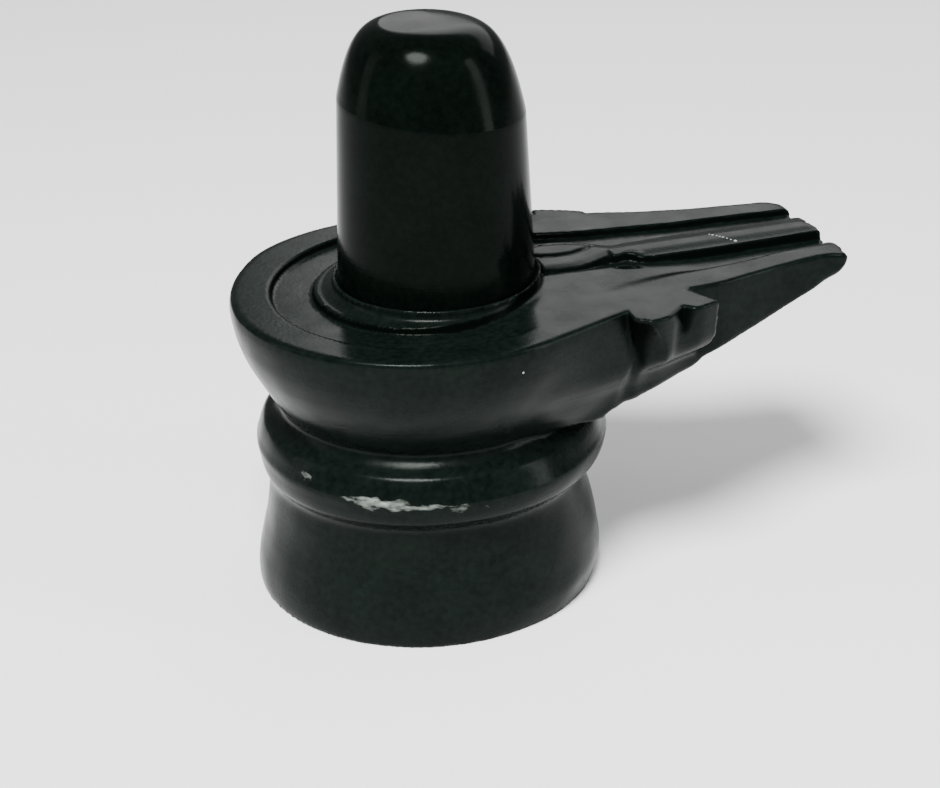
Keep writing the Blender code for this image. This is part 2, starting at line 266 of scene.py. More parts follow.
# Radius of the foot and waist ring by height
FOOT_SIDE = table([
    (-1.0, 30.1), (0.0, 30.1), (1.9, 30.4), (4.2, 30.55), (8.9, 29.85), (12.3, 29.1), (17.2, 28.1),
    (20.2, 27.7), (21.6, 28.1), (22.6, 29.0), (23.6, 29.8), (25.5, 30.4), (27.3, 30.65), (28.2, 30.3),
    (31.3, 28.9), (32.5, 26.9), (33.6, 25.9), (34.6, 25.6), (36.0, 25.6)])
# How far the turned body's centre strays along the image's right, by height
AXIS_DRIFT = table([
    (-1.0, -1.3), (0.0, -1.3), (2.0, -1.15), (5.0, -0.8), (12.0, -0.55), (19.0, -0.85), (21.5, -0.8),
    (24.0, 0.1), (26.0, 0.3), (30.0, 0.05), (34.0, -0.1), (42.0, -0.25), (60.0, -0.2)])
# How far the bowl has opened from the crease to the rim, and its shoulder's half width, by height
BOWL_SPREAD = table([
    (33.0, -0.10), (34.3, 0.0), (37.0, 0.23), (39.6, 0.42), (45.1, 0.78), (48.9, 0.94), (52.4, 1.0),
    (54.2, 0.975), (56.0, 0.975)])
SHOULDER_SIDE = table([
    (33.0, 18.4), (34.3, 18.8), (36.3, 19.6), (38.5, 20.6), (40.5, 21.8), (42.2, 22.6), (44.0, 22.9), (56.0, 22.9)])
# Half widths of the ears and of the spout, and height of the spout's underside, along the spout
NEAR_EAR_SIDE = table([
    (26.0, 29.6), (29.0, 29.4), (30.4, 29.0), (32.2, 28.7), (34.5, 27.9), (36.0, 27.0), (37.1, 26.7),
    (40.2, 26.3), (43.5, 25.1), (46.0, 24.2)])
FAR_EAR_SIDE = table([(26.0, 25.4), (28.7, 25.9), (31.0, 25.1), (34.8, 23.3), (36.7, 22.0), (40.0, 20.3)])
SPOUT_UNDER = table([
    (10.0, 30.2), (24.7, 34.6), (31.7, 36.8), (39.6, 39.2), (47.5, 41.7), (55.6, 44.1), (59.7, 45.5),
    (63.7, 47.1), (68.6, 49.0), (73.2, 51.0)])
NEAR_HALF = table([
    (10.0, 16.0), (24.0, 19.3), (32.6, 19.8), (40.5, 18.6), (46.0, 18.2), (53.5, 16.4), (61.0, 14.8),
    (68.0, 14.3), (72.0, 15.5), (74.0, 15.7)])
FAR_HALF = table([
    (10.0, 16.0), (24.0, 19.8), (32.6, 21.3), (36.6, 21.2), (39.6, 20.45), (45.8, 18.4), (50.1, 17.4),
    (55.5, 16.2), (61.2, 15.5), (66.7, 14.7), (74.0, 14.2)])
# Outer walls of the two channels, and the middle ridge's sides, along the spout
FAR_INNER = table([
    (10.0, 17.0), (24.7, 14.1), (32.7, 12.3), (41.5, 11.2), (50.3, 10.1), (60.3, 9.7), (67.2, 9.2),
    (75.0, 8.9)])
NEAR_INNER = table([
    (10.0, 17.0), (24.7, 14.6), (32.7, 11.8), (42.9, 9.9), (51.9, 9.9), (61.3, 8.9), (69.7, 7.9), (75.0, 7.6)])
RIDGE_NEAR = table([(30.0, 1.5), (36.0, 2.2), (39.0, 3.9), (45.0, 4.2), (52.0, 4.3), (66.0, 3.9), (75.0, 3.8)])
RIDGE_FAR = table([(30.0, 3.0), (34.0, 3.4), (41.0, 3.9), (52.0, 4.3), (66.0, 4.1), (75.0, 3.9)])

# Plans of the ridge's leaf-shaped head and of the almond cut into it
LEAF = [
    (19.4, -3.2), (23.2, -3.9), (26.3, -4.1), (28.9, -3.4), (30.9, -2.3), (33.5, -1.2), (36.0, -1.2),
    (36.0, 3.0), (33.8, 4.2), (31.8, 5.9), (29.4, 7.5), (26.5, 8.6), (23.0, 8.9), (19.4, 8.1)]
ALMOND = [
    (18.5, 4.2), (21.7, 2.3), (24.3, 1.7), (27.2, 1.6), (29.8, 2.6), (32.0, 4.2), (29.4, 5.7), (27.0, 6.7),
    (23.5, 7.4), (20.5, 6.9)]


def polygon(points, x, y):
    """Distance from the outline of a closed plan, negative inside."""
    nearest = np.full(np.shape(x), 1e9)
    inside = np.zeros(np.shape(x), bool)
    for i, (ax, ay) in enumerate(points):
        bx, by = points[(i + 1) % len(points)]
        ex, ey = bx - ax, by - ay
        t = np.clip(((x - ax) * ex + (y - ay) * ey) / (ex * ex + ey * ey), 0.0, 1.0)
        nearest = np.minimum(nearest, (x - ax - t * ex) ** 2 + (y - ay - t * ey) ** 2)
        crosses = (ay > y) != (by > y)
        inside ^= crosses & (x < ax + (y - ay) / (ey if ey != 0.0 else 1e-12) * ex)
    return np.where(inside, -1.0, 1.0) * np.sqrt(nearest)


def from_shaft(x, y):
    return np.hypot(x - SHAFT_CENTRE[0], y - SHAFT_CENTRE[1])


def floor_share(x, y):
    """Share of the floor's depth that is cut at a place: crisp on the far side, softer in the near channel."""
    inner = np.where(y > 0.0, read(FAR_INNER, x), read(NEAR_INNER, x))
    channel = np.where(x > CHANNEL_START, np.abs(y) - inner, 50.0)
    recess = np.hypot(x - RECESS_CENTRE, y) - RECESS_RADIUS
    far_cut = fall(smin(recess, channel, CHANNEL_MERGE), 0.0, CUT_WALL)
    near_wall = NEAR_WALL + NEAR_WALL_SPREAD * fall(x, 48.0, 26.0)
    near_channel = fall(channel, 0.3 * near_wall, near_wall) * rise(x, 37.0, 32.0)
    near_recess = fall(recess, 0.0, CUT_WALL) * fall(x, 7.0, 14.0)
    side = rise(y, -3.0, 4.0)
    return side * far_cut + (1.0 - side) * np.maximum(near_channel, near_recess)


def leaf_height(x, y):
    almond = polygon(ALMOND, x, y)
    height = RIM_HEIGHT + LEAF_LIFT + LEAF_CROWN * fall(polygon(LEAF, x, y), -1.0, 3.0)
    height = height + ALMOND_CROWN * fall(almond, 0.0, 3.0)
    return height - ALMOND_GROOVE * bell(almond / ALMOND_GROOVE)


def top_surface(x, y):
    """Height of all that is carved into the level top: recess, collar, channels, ridge and leaf-shaped head."""
    shaft = from_shaft(x, y)
    height = RIM_HEIGHT - FLOOR_DEPTH * floor_share(x, y)
    collar = np.hypot(x - COLLAR_CENTRE[0], y - COLLAR_CENTRE[1]) - COLLAR_RADIUS
    collar_top = RIM_HEIGHT + COLLAR_LIFT + COLLAR_SWELL * fall(shaft, BEAD_RADIUS + 0.9, 2.0)
    height = height + (collar_top - height) * fall(collar, 0.0, 0.5)
    ridge = np.abs(y) - np.where(y > 0.0, read(RIDGE_FAR, x), read(RIDGE_NEAR, x))
    ridge = np.maximum(ridge, RIDGE_START - x)
    crown = RIM_HEIGHT + RIDGE_LIFT - RIDGE_CROWN * rise(np.abs(y), 2.2, 3.0)
    height = height + (np.maximum(crown, height) - height) * fall(ridge, 0.0, 0.6)
    leaf_part = fall(polygon(LEAF, x, y), 0.0, 0.6) * rise(shaft, BEAD_RADIUS + 0.6, 0.6)
    height = height + (np.maximum(leaf_height(x, y), height) - height) * leaf_part
    knob = np.hypot((x - KNOB_PLACE[0]) / KNOB_SIZE[0], (y - KNOB_PLACE[1]) / KNOB_SIZE[1])
    height = height + KNOB_LIFT * plateau(knob)
    along, across = x - PIT_PLACE[0], y - PIT_PLACE[1]
    pit = np.hypot((along - 0.9 * across) / PIT_SIZE[0], (across + 0.3 * along) / PIT_SIZE[1])
    height = height - PIT_DEPTH * plateau(pit)
    return height + RIM_LIFT_NEAR_TIP * rise(x, 64.0, 14.0) * fall(y, -9.0, 3.0)


def base_plan(x, y):
    """What the base's field needs of a point's plan position."""
    return {"top": top_surface(x, y), "shaft": from_shaft(x, y)}


def foot_field(px, py, z, wobble):
    foot = (np.hypot(px, py) - read(FOOT_SIDE, z) + wobble) * FOOT_SLOPE
    return np.maximum(foot, z - CREASE_HEIGHT - 0.6)


def spout_bevel(x, y, z, half):
    """The undercut that rises from the spout's underside out to the shoulders and ears."""
    along = np.clip((x - 30.0) / 14.0, 0.0, 1.0)
    outside = np.maximum(np.abs(y) - half + 0.3, -0.1)
    climb = (8.0 - 2.0 * along) * (1.0 - np.exp(-outside / (3.2 + 0.8 * along)))
    return (read(SPOUT_UNDER, x) + 0.7 + climb - z) * BEVEL_SLOPE


def bowl_field(px, py, x, z, wobble, bevel):
    """The round bowl, with straight flanks that run from its sides to the spout's shoulders."""
    side = np.abs(py)
    reach = np.hypot(px, py)
    angle = np.degrees(np.arctan2(py, px))
    fuller = BULGE * bell((angle - BULGE_ANGLE) / BULGE_SPREAD)
    radius = CREASE_RADIUS + (RIM_RADIUS + fuller - CREASE_RADIUS) * read(BOWL_SPREAD, z)
    shoulder = read(SHOULDER_SIDE, z)
    corner = np.hypot(shoulder, SHOULDER_X)
    normal = np.arctan2(shoulder, SHOULDER_X) + np.arccos(np.minimum(1.0, radius / corner))
    straight = px * np.cos(normal) + side * np.sin(normal)
    bowl = (np.where(np.arctan2(side, px) < normal, straight, reach) - radius + wobble) * BOWL_SLOPE
    bowl = np.maximum(bowl, px - SHOULDER_X - 0.4)
    bowl = smax(bowl, bevel - 0.7 * np.maximum(29.5 - x, 0.0) ** 1.4, 2.0)
    bowl = np.maximum(bowl, CREASE_HEIGHT - 0.9 - z)
    under = (read(SPOUT_UNDER, x) - z) * UNDER_SLOPE - 0.1 - 3.0 * fall(x, 25.0, 3.0)
    return smax(bowl, under, 0.5)


def spout_field(x, y, z, half, wobble, lid):
    """The tapering spout, with a scalloped end and a rounder corner on the far side."""
    far = y > 0.0
    side = np.abs(y) - half + 0.5 * wobble
    low = (read(SPOUT_UNDER, x) - z) * UNDER_SLOPE + 0.5 * wobble
    tip = x - SPOUT_TIP + 0.4 * rise(np.cos(y * 0.9), 0.3, 1.0)
    spout = smax(side, tip, np.where(far, 3.2, 0.8))
    spout = smax(spout, low, 1.0 + 2.6 * rise(x, 68.5, 7.0))
    spout = smax(spout, lid, 0.8 + np.where(far, 0.8, 0.0) * rise(x, 70.0, 5.0))
    return np.maximum(spout, 8.0 - x)


def ear_field(x, y, z, bevel, lid):
    """Both ears: the near one with its slanted front facet and notch, the far one smaller and plain."""
    far = y > 0.0
    out = np.abs(y)
    depth = RIM_HEIGHT - z
    lean = EAR_UNDERCUT * depth
    end = (x - NEAR_EAR_END - NEAR_EAR_END_SKEW * (out + lean - 18.5)) * 0.905
    near_ear = smax(out - read(NEAR_EAR_SIDE, x) + lean, end, 0.4)
    facet = -0.588 * (x - FACET_POINT[0]) - 0.728 * (y - FACET_POINT[1]) + 0.349 * depth
    facet = facet + FACET_HOLLOW * np.sin(math.pi * np.clip(depth / EAR_FACE_HEIGHT, 0.0, 1.0))
    near_ear = smax(near_ear, facet, 0.25)
    near_ear = smax(near_ear, (NEAR_EAR_START + 0.171 * depth - x) * 0.98, 0.25)
    notch = np.abs(x - NOTCH_X) * 0.68 - (NOTCH_Y - 0.25 * depth - y) * 0.73
    near_ear = smax(near_ear, -notch, 0.3)
    near_ear = np.where(far, 9.0, near_ear)
    far_ear = np.maximum(out - read(FAR_EAR_SIDE, x) + lean, x - FAR_EAR_END)
    far_ear = smax(far_ear, FAR_EAR_START - x, 0.4)
    far_ear = np.where(far, far_ear, 9.0)
    ears = smax(np.minimum(near_ear, far_ear), bevel, 1.6)
    ears = smax(ears, lid, 0.5)
    return np.maximum(ears, EAR_INNER - out)


def base_field(x, y, z, plan):
    """Signed distance, roughly, to the surface of the base: negative inside."""
    drift = read(AXIS_DRIFT, z)
    px = x - IMAGE_RIGHT[0] * drift
    py = y - IMAGE_RIGHT[1] * drift
    wobble = BROAD_WOBBLE * undulate(BROAD, x, y, z) + MIDDLE_WOBBLE * undulate(MIDDLE, x, y, z)
    half = np.where(y > 0.0, read(FAR_HALF, x), read(NEAR_HALF, x))
    bevel = spout_bevel(x, y, z, half)
    top = (z - plan["top"] - TOP_WOBBLE * undulate(BROAD, x, y, 0.0 * z)) * TOP_SLOPE
    lid = z - np.maximum(RIM_HEIGHT, plan["top"]) - 0.05

    bowl = smax(bowl_field(px, py, x, z, wobble, bevel), lid, 0.8)
    solid = smin(foot_field(px, py, z, wobble), bowl, 0.35)
    solid = smin(solid, spout_field(x, y, z, half, wobble, lid), 0.7 + 1.8 * fall(z, 46.0, 6.0))
    solid = smin(solid, ear_field(x, y, z, bevel, lid), 0.25 + 2.4 * fall(z, 42.5, 5.0))
    carved = smax(solid, top, 0.2)
    aside = plan["shaft"] - BEAD_RADIUS
    bead = smax(aside, z - BEAD_TOP - BEAD_SLOPE * aside, 0.5)
    bead = np.maximum(bead, BEAD_BOTTOM - z)
    carved = smin(carved, bead, 0.8)
    socket = np.maximum(plan["shaft"] - SOCKET_RADIUS, SOCKET_FLOOR - z)
    carved = smax(carved, -socket, 0.15)
    return np.maximum(carved, -z)


def grid_axis(parts):
    """Grid lines with a step of their own for each stretch."""
    lines = []
    for low, high, size in parts:
        count = max(1, int(round((high - low) / size)))
        lines.extend(low + (high - low) * i / count for i in range(count))
    lines.append(parts[-1][1])
    return np.array(lines)


def surface_points(lines, values, cells, corners):
    """The middle of the surface's crossings with each cell's twelve edges."""
    edges = [(a, b) for a in corners for b in corners
             if sum(b) - sum(a) == 1 and all(q >= p for p, q in zip(a, b))]
    total = np.zeros((len(cells[0]), 3))
    hits = np.zeros(len(cells[0]))
    for a, b in edges:
        va = values[cells[0] + a[0], cells[1] + a[1], cells[2] + a[2]]
        vb = values[cells[0] + b[0], cells[1] + b[1], cells[2] + b[2]]
        crossing = (va < 0.0) != (vb < 0.0)
        t = np.where(crossing, va / np.where(crossing, va - vb, 1.0), 0.0)
        for axis in range(3):
            pa = lines[axis][cells[axis] + a[axis]]
            pb = lines[axis][cells[axis] + b[axis]]
            total[:, axis] += np.where(crossing, pa + (pb - pa) * t, 0.0)
        hits += crossing
    return total / hits[:, None]


def surface_quads(inside, index):
    """A quad round every grid edge that the surface crosses, facing out."""
    quads = []
    for axis in range(3):
        other = [a for a in range(3) if a != axis]
        cut = [slice(None)] * 3
        cut[axis] = slice(0, -1)
        ahead = [slice(None)] * 3
        ahead[axis] = slice(1, None)
        first, second = inside[tuple(cut)], inside[tuple(ahead)]
        place = np.array(np.nonzero(first != second))
        keep = np.all([(place[a] > 0) & (place[a] < inside.shape[a] - 1) for a in other], axis=0)
        place = place[:, keep]
        leaving = first[tuple(place)]
        ring = []
        for da, db in ((-1, -1), (0, -1), (0, 0), (-1, 0)):
            cell = place.copy()
            cell[other[0]] += da
            cell[other[1]] += db
            ring.append(index[tuple(cell)])
        ring = np.stack(ring, 1)
        flip = leaving if axis != 1 else ~leaving
        ring[~flip] = ring[~flip][:, ::-1]
        quads.append(ring)
    return np.concatenate(quads)


def net(lines, field_at):
    """A quad mesh of the field's zero surface: one point per cell that the surface crosses."""
    shape = tuple(len(axis_lines) for axis_lines in lines)
    values = np.empty(shape, np.float32)
    xs, ys = np.meshgrid(lines[0], lines[1], indexing="ij")
    plan = base_plan(xs, ys)
    for k, z in enumerate(lines[2]):
        values[:, :, k] = field_at(xs, ys, np.full(xs.shape, z), plan)
    inside = values < 0.0
    corners = [(i, j, k) for i in (0, 1) for j in (0, 1) for k in (0, 1)]
    count = np.zeros(tuple(n - 1 for n in shape), np.uint8)
    for i, j, k in corners:
        count += inside[i:shape[0] - 1 + i, j:shape[1] - 1 + j, k:shape[2] - 1 + k]
    cells = np.nonzero((count > 0) & (count < len(corners)))
    index = np.full(count.shape, -1, np.int64)
    index[cells] = np.arange(len(cells[0]))
    return surface_points(lines, values, cells, corners), surface_quads(inside, index)


def settle(points, quads, rounds):
    """Evens out the mesh and lays its points exactly on the surface."""
    pairs = np.concatenate([quads[:, [i, (i + 1) % 4]] for i in range(4)])
    degree = np.bincount(pairs.ravel(), minlength=len(points))[:, None]

    def on_surface(p):
        h = 0.02
        x, y, z = p.T
        value = base_field(x, y, z, base_plan(x, y))
        slope = np.stack([
            base_field(x + h, y, z, base_plan(x + h, y)) - value,
            base_field(x, y + h, z, base_plan(x, y + h)) - value,
            base_field(x, y, z + h, base_plan(x, y)) - value], 1) / h
        size = np.maximum((slope ** 2).sum(1), 0.15)
        move = -(value / size)[:, None] * slope
        length = np.linalg.norm(move, axis=1)[:, None]
        return p + move * np.minimum(1.0, 0.25 / np.maximum(length, 1e-9))

    for _ in range(rounds):
        mean = np.zeros_like(points)
        for a, b in ((0, 1), (1, 0)):
            for axis in range(3):
                weights = points[pairs[:, b], axis]
                mean[:, axis] += np.bincount(pairs[:, a], weights=weights, minlength=len(points))
        points = points + 0.5 * (mean / degree - points)
        points = on_surface(on_surface(points))
    return points


def mesh_object(name, points, faces, material):
    mesh = bpy.data.meshes.new(name)
    mesh.from_pydata((points * MM).tolist(), [], faces)
    mesh.update()
    mesh.shade_smooth()
    mesh.materials.append(material)
    obj = bpy.data.objects.new(name, mesh)
    bpy.context.scene.collection.objects.link(obj)
    return obj


def mark(obj, name, values):
    attribute = obj.data.attributes.new(name, "FLOAT", "POINT")
    attribute.data.foreach_set("value", values.astype(np.float32))


def base_painted_shade(points):
    """Painted shade: darker colour and less reflection on the steep recess and channel walls and in the near ear's
    cuts.
    """
    x, y, z = points.T
    h = 0.15
    slope_x = top_surface(x + h, y) - top_surface(x - h, y)
    slope_y = top_surface(x, y + h) - top_surface(x, y - h)
    slope = np.hypot(slope_x, slope_y) / (2.0 * h)
    wall = rise(slope, 0.75, 0.9) * rise(z, RIM_HEIGHT - 2.2, 0.6)
    level = np.clip((RIM_HEIGHT - z) / EAR_FACE_HEIGHT, 0.0, 1.0)
    hollow = plateau((x - 28.9 - 1.3 * level) / (2.3 - 1.3 * level)) * fall(y, -23.3, 1.2)
    hollow = hollow * fall(z, RIM_HEIGHT - 0.6, 0.8) * rise(z, 41.0, 3.0)
    notch = plateau((x - 37.2) / (1.9 - 2.6 * level)) * fall(y, -24.4, 0.8)
    notch = notch * fall(z, RIM_HEIGHT - 0.3, 0.5) * rise(z, 49.6, 1.5)
    return np.max([wall, hollow, notch], axis=0)


def base_wear_and_glint(points):
    """How worn each point of the base is, at the waist ring's battered edge, plus painted highlights along the
    joint at the shaft's foot.
    """
    x, y, z = points.T
    aside = x * IMAGE_RIGHT[0] + y * IMAGE_RIGHT[1]
    ahead = -x * IMAGE_AWAY[0] - y * IMAGE_AWAY[1]
    turn = np.degrees(np.arctan2(aside, ahead))
    bruise = plateau((turn - BRUISE_ANGLE) / BRUISE_SPREAD) * bell((z - BRUISE_HEIGHT + 0.02 * turn) / 1.2)
    bruise = bruise * (0.50 + 0.42 * bell((turn + 17.0) / 11.0))
    left = bell((turn + 44.0) / 5.0) * bell((z - 29.0) / 1.0)
    # Painted highlights along the joint at the shaft's foot
    joint_glint = bell((from_shaft(x, y) - 17.1) / 0.35) * bell((z - 56.6) / 0.5)
    joint_glint = joint_glint * bell((turn - 18.0) / 22.0)
    collar = np.hypot(x - COLLAR_CENTRE[0], y - COLLAR_CENTRE[1])
    edge = bell((collar - COLLAR_RADIUS) / 0.5) * bell((z - 54.0) / 0.6)
    edge = edge * bell((turn + 12.0) / 11.0)
    return np.max([bruise, 0.7 * left, 0.75 * joint_glint, 0.68 * edge], axis=0)


def all_chips_and_glints():
    """Small chips and painted highlights, as place on the base and size: the chips listed, then the painted
    highlights along the shaft's joint.
    """
    chips_and_glints = EAR_AND_RIM_CHIPS + KNOB_CHIPS + RIDGE_CHIPS + BOWL_CHIPS
    for turn, size in JOINT_GLINTS:
        aside = JOINT_RADIUS * math.sin(math.radians(turn))
        ahead = -JOINT_RADIUS * math.cos(math.radians(turn))
        chips_and_glints.append((SHAFT_CENTRE[0] + aside * IMAGE_RIGHT[0] + ahead * IMAGE_AWAY[0],
                      SHAFT_CENTRE[1] + aside * IMAGE_RIGHT[1] + ahead * IMAGE_AWAY[1], BEAD_TOP - 0.1, size))
    return chips_and_glints


def make_base(material):
    lines = (grid_axis(GRID_X), grid_axis(GRID_Y), grid_axis(GRID_Z))
    points, quads = net(lines, base_field)
    points = settle(points, quads, 3)
    points[:, 2] = np.maximum(points[:, 2], 0.0)
    obj = mesh_object("carved_base", points, quads.tolist(), material)
    # wear, and painted highlights along the shaft's joint
    mark(obj, "wear_and_glint", base_wear_and_glint(points))
    # painted shade on the recess and channel walls and in the near ear's cuts
    mark(obj, "painted_shade", base_painted_shade(points))
    return obj


def dome_height(reach, angle):
    """Height of the shaft's top at a share of its radius: flat in the middle, squarer on the image's left."""
    lean = np.cos(angle)
    power = DOME_POWER + DOME_POWER_LEAN * lean
    drop = DOME_DROP + DOME_DROP_LEAN * lean
    return TOTAL_HEIGHT - drop * reach ** power - DOME_TILT * lean * reach


def shaft_profile(turn):
    """Radius and height of each row of the shaft, from the dome's middle down to its bottom."""
    rows = []
    for share in np.sin(0.5 * math.pi * np.linspace(0.02, 1.0, DOME_ROWS)) ** 0.8:
        rows.append((share * np.full(len(turn), SHAFT_HEAD_RADIUS), dome_height(share, turn)))
    edge = dome_height(1.0, turn)
    for share in np.linspace(1.0, 0.0, SIDE_ROWS)[1:]:
        z = SHAFT_BOTTOM + (edge - SHAFT_BOTTOM) * share
        t = np.clip((z - SHAFT_FOOT_HEIGHT) / (edge - SHAFT_FOOT_HEIGHT), 0.0, 1.0)
        taper = (SHAFT_HEAD_RADIUS - SHAFT_FOOT_RADIUS) * t ** SHAFT_TAPER_POWER
        rows.append((SHAFT_FOOT_RADIUS + taper, z))
    return rows


def shaft_row(radius, z, turn):
    """One row's points, round an axis that leans a little to the image's right."""
    lean = SHAFT_LEAN * np.clip((z - SHAFT_LEAN_START) / (TOTAL_HEIGHT - SHAFT_LEAN_START), 0.0, 1.0)
    right, away = np.cos(turn), np.sin(turn)
    axis_x = SHAFT_CENTRE[0] + IMAGE_RIGHT[0] * lean
    axis_y = SHAFT_CENTRE[1] + IMAGE_RIGHT[1] * lean
    x = axis_x + radius * (right * IMAGE_RIGHT[0] + away * IMAGE_AWAY[0])
    y = axis_y + radius * (right * IMAGE_RIGHT[1] + away * IMAGE_AWAY[1])
    wobble = SHAFT_WOBBLE * undulate(BROAD, x, y, z)
    return np.stack([x + wobble * right, y + wobble * away, np.minimum(z, TOTAL_HEIGHT - 0.01)], 1)


def make_shaft(material):
    turn = 2.0 * math.pi * np.arange(SHAFT_SEGMENTS) / SHAFT_SEGMENTS
    rows = [shaft_row(radius, z, turn) for radius, z in shaft_profile(turn)]
    top_x = SHAFT_CENTRE[0] + IMAGE_RIGHT[0] * SHAFT_LEAN
    top_y = SHAFT_CENTRE[1] + IMAGE_RIGHT[1] * SHAFT_LEAN
    ends = np.array([[top_x, top_y, TOTAL_HEIGHT], [SHAFT_CENTRE[0], SHAFT_CENTRE[1], SHAFT_BOTTOM]])
    top, bottom = len(rows) * SHAFT_SEGMENTS, len(rows) * SHAFT_SEGMENTS + 1
    last = (len(rows) - 1) * SHAFT_SEGMENTS
    faces = []
    for i in range(SHAFT_SEGMENTS):
        j = (i + 1) % SHAFT_SEGMENTS
        for first in range(0, last, SHAFT_SEGMENTS):
            below = first + SHAFT_SEGMENTS
            faces.append((first + i, below + i, below + j, first + j))
        faces.append((top, i, j))
        faces.append((bottom, last + j, last + i))
    return mesh_object("polished_shaft", np.concatenate(rows + [ends]), faces, material)


class Nodes:
    """Short calls for the shader nodes that the stone is made of."""

    def __init__(self, material):
        self.nodes = material.node_tree.nodes
        self.links = material.node_tree.links
        self.place = self.nodes.new("ShaderNodeTexCoord").outputs["Object"]

    def plug(self, value, socket):
        if isinstance(value, bpy.types.NodeSocket):
            self.links.new(value, socket)
        else:
            socket.default_value = value

    def noise(self, scale, detail, stretch=None):
        node = self.nodes.new("ShaderNodeTexNoise")
        node.inputs["Scale"].default_value = scale
        node.inputs["Detail"].default_value = detail
        if stretch is None:
            self.links.new(self.place, node.inputs["Vector"])
        else:
            mapping = self.nodes.new("ShaderNodeMapping")
            mapping.inputs["Scale"].default_value = stretch
            self.links.new(self.place, mapping.inputs["Vector"])
            self.links.new(mapping.outputs["Vector"], node.inputs["Vector"])
        return node.outputs["Fac"]

    def ramp(self, value, low, high, start, end):
        node = self.nodes.new("ShaderNodeMapRange")
        for name, number in (("From Min", low), ("From Max", high), ("To Min", start), ("To Max", end)):
            node.inputs[name].default_value = number
        self.links.new(value, node.inputs["Value"])
        return node.outputs["Result"]

    def mix(self, factor, a, b):
        node = self.nodes.new("ShaderNodeMix")
        node.data_type = "RGBA"
        self.links.new(factor, node.inputs["Factor"])
        self.plug(a, node.inputs["A"])
        self.plug(b, node.inputs["B"])
        return node.outputs["Result"]

    def combine(self, kind, a, b):
        node = self.nodes.new("ShaderNodeMath")
        node.operation = kind
        self.plug(a, node.inputs[0])
        self.plug(b, node.inputs[1])
        return node.outputs["Value"]

    def shares(self, a, a_share, b, b_share):
        """The sum of two values, each times its share."""
        return self.combine("ADD", self.combine("MULTIPLY", a, a_share), self.combine("MULTIPLY", b, b_share))

    def attribute(self, name):
        node = self.nodes.new("ShaderNodeAttribute")
        node.attribute_name = name
        return node.outputs["Fac"]

    def away_from(self, x, y, z):
        node = self.nodes.new("ShaderNodeVectorMath")
        node.operation = "DISTANCE"
        node.inputs[1].default_value = (x * MM, y * MM, z * MM)
        self.links.new(self.place, node.inputs[0])
        return node.outputs["Value"]


def chip_and_glint_mask(made, wear_and_glint, flakes):
    """1 on broken stone and on painted highlights: ragged flakes where wear is marked, each small chip, and each
    painted highlight at the shaft's joint.
    """
    mask = made.ramp(made.shares(wear_and_glint, 0.62, flakes, 1.0), 0.82, 1.20, 0.0, 0.75)
    ragged = made.noise(1800.0, 2.0)
    for x, y, z, size in all_chips_and_glints():
        edge = made.combine("MULTIPLY", ragged, 0.6 * size * MM)
        reach = made.combine("ADD", made.away_from(x, y, z), edge)
        mask = made.combine("MAXIMUM", mask, made.ramp(reach, size * MM, 1.35 * size * MM, 1.0, 0.0))
    return mask


def stone(name, dark, light, bump_strength, roughness, refraction, worn):
    """Dark polished stone: cloudy tint, fine grain, faint scratches, pale rough chips where wear is marked, painted
    highlights at the shaft's joint, and painted shade on the walls of the cuts.
    """
    material = bpy.data.materials.new(name)
    material.use_nodes = True
    made = Nodes(material)
    shader = made.nodes["Principled BSDF"]
    clouds = made.shares(made.noise(150.0, 3.0), 0.4, made.noise(900.0, 5.0), 0.6)
    cloud = made.ramp(clouds, 0.36, 0.66, 0.0, 1.0)
    colour = made.mix(cloud, dark, light)
    rough = made.ramp(made.noise(160.0, 5.0), 0.3, 0.7, roughness[0], roughness[1])
    grain = made.noise(1500.0, 3.0)
    scratch = made.noise(260.0, 2.0, (0.25, 0.25, 7.0))
    height = made.shares(grain, 0.55, scratch, 0.45)
    if worn:
        wear_and_glint = made.attribute("wear_and_glint")
        painted_shade = made.attribute("painted_shade")
        flakes = made.noise(420.0, 5.0, (1.0, 1.0, 2.6))
        # pale chips, and painted highlights along the shaft's joint in the same pale colour
        chip_and_glint = chip_and_glint_mask(made, wear_and_glint, flakes)
        # painted shade: the walls of the recess and channels and the near ear's cuts get a darker colour and less
        # reflection
        colour = made.mix(painted_shade, made.mix(chip_and_glint, colour, CHIP_AND_GLINT_COLOUR), PAINTED_SHADE_COLOUR)
        made.plug(made.ramp(painted_shade, 0.0, 1.0, 0.5, 0.06), shader.inputs["Specular IOR Level"])
        rough = made.combine("ADD", rough, made.combine("MULTIPLY", chip_and_glint, 0.2))
        broken = made.combine("MULTIPLY", made.combine("MULTIPLY", wear_and_glint, flakes), 4.0)
        height = made.combine("ADD", height, broken)
    bump = made.nodes.new("ShaderNodeBump")
    bump.inputs["Strength"].default_value = bump_strength
    bump.inputs["Distance"].default_value = BUMP_DEPTH_M
    made.plug(height, bump.inputs["Height"])
    made.plug(bump.outputs["Normal"], shader.inputs["Normal"])
    made.plug(colour, shader.inputs["Base Color"])
    made.plug(rough, shader.inputs["Roughness"])
    shader.inputs["Metallic"].default_value = 0.0
    shader.inputs["IOR"].default_value = refraction
    shader.inputs["Specular Tint"].default_value = STONE_TINT
    return material


def base_stone():
    return stone("black_stone_base", (0.0012, 0.0026, 0.0021, 1.0), (0.0036, 0.0062, 0.0050, 1.0),
                 bump_strength=0.30, roughness=(0.18, 0.30), refraction=1.135, worn=True)


def shaft_stone():
    return stone("black_stone_shaft", (0.0006, 0.0014, 0.0010, 1.0), (0.0016, 0.0030, 0.0022, 1.0),
                 bump_strength=0.10, roughness=(0.13, 0.20), refraction=1.095, worn=False)


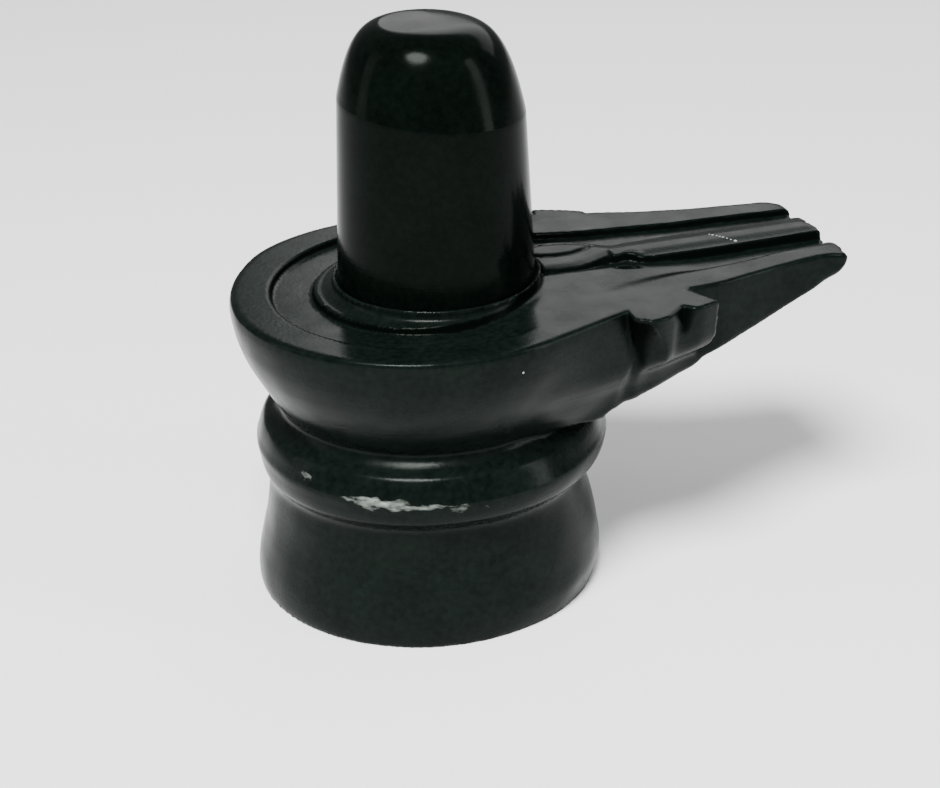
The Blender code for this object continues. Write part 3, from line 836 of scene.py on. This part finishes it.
def area_light(name, size, power, place, shape="RECTANGLE"):
    data = bpy.data.lights.new(name, "AREA")
    data.shape = shape
    data.size, data.size_y = size
    data.energy = power
    light = bpy.data.objects.new(name, data)
    bpy.context.scene.collection.objects.link(light)
    light.location = place
    light.rotation_euler = (Vector(LIGHT_TARGET) - Vector(place)).to_track_quat("-Z", "Y").to_euler()


def in_view(right, away, up):
    """A place given in metres to the image's right, away from the camera, and up."""
    x = right * IMAGE_RIGHT[0] + away * IMAGE_AWAY[0]
    y = right * IMAGE_RIGHT[1] + away * IMAGE_AWAY[1]
    return x, y, up


def add_floor():
    material = bpy.data.materials.new("pale_floor")
    material.use_nodes = True
    shader = material.node_tree.nodes["Principled BSDF"]
    shader.inputs["Base Color"].default_value = (FLOOR_ALBEDO, FLOOR_ALBEDO, FLOOR_ALBEDO, 1.0)
    shader.inputs["Roughness"].default_value = 0.9
    mesh = bpy.data.meshes.new("floor")
    corners = [(FLOOR_REACH * x, FLOOR_REACH * y, 0.0) for x, y in ((-1, -1), (1, -1), (1, 1), (-1, 1))]
    mesh.from_pydata(corners, [], [(0, 1, 2, 3)])
    mesh.materials.append(material)
    floor = bpy.data.objects.new("floor", mesh)
    bpy.context.scene.collection.objects.link(floor)


def add_lights():
    """Soft panels: one behind that the level faces mirror, one above the camera, and a strip on each side."""
    world = bpy.data.worlds.new("studio")
    world.use_nodes = True
    background = world.node_tree.nodes["Background"]
    background.inputs["Color"].default_value = (1.0, 1.0, 1.0, 1.0)
    background.inputs["Strength"].default_value = SKY_STRENGTH
    bpy.context.scene.world = world
    area_light("back_panel", (1.62, 0.46), 7.8, in_view(0.56, 1.0, 0.68))
    area_light("key_panel", (0.36, 0.34), 24.0, in_view(-0.135, -0.42, 0.80), "ELLIPSE")
    area_light("right_panel", (0.20, 0.7), 4.0, in_view(0.85, -0.25, 0.34))
    area_light("left_panel", (0.24, 0.7), 1.05, in_view(-0.9, 0.0, 0.36))


def add_camera():
    turn, rise_angle, roll = (math.radians(v) for v in (CAMERA_TURN, CAMERA_RISE, CAMERA_ROLL))
    right = Vector((math.cos(turn), -math.sin(turn), 0.0))
    away = Vector((math.sin(turn), math.cos(turn), 0.0))
    up = away * math.sin(rise_angle) + Vector((0.0, 0.0, math.cos(rise_angle)))
    forward = away * math.cos(rise_angle) - Vector((0.0, 0.0, math.sin(rise_angle)))
    across = math.cos(roll) * right - math.sin(roll) * up
    upward = math.sin(roll) * right + math.cos(roll) * up
    place = (-CAMERA_RIGHT * across - CAMERA_UP * upward - CAMERA_DISTANCE * forward) * MM
    data = bpy.data.cameras.new("camera")
    data.sensor_width = SENSOR_WIDTH
    data.sensor_fit = "HORIZONTAL"
    data.lens = SENSOR_WIDTH * FOCAL_PIXELS / IMAGE_WIDTH
    data.clip_start = 0.01
    data.clip_end = 20.0
    camera = bpy.data.objects.new("camera", data)
    bpy.context.scene.collection.objects.link(camera)
    turned = Matrix((across, upward, -forward)).transposed().to_4x4()
    camera.matrix_world = Matrix.Translation(place) @ turned
    bpy.context.scene.camera = camera


base = make_base(base_stone())
shaft = make_shaft(shaft_stone())
for piece, node, slot in ((base, "yoni_base", "black_stone_base"), (shaft, "lingam", "black_stone_shaft")):
    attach(piece, "root")
    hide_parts(node)
add_floor()
add_lights()
add_camera()
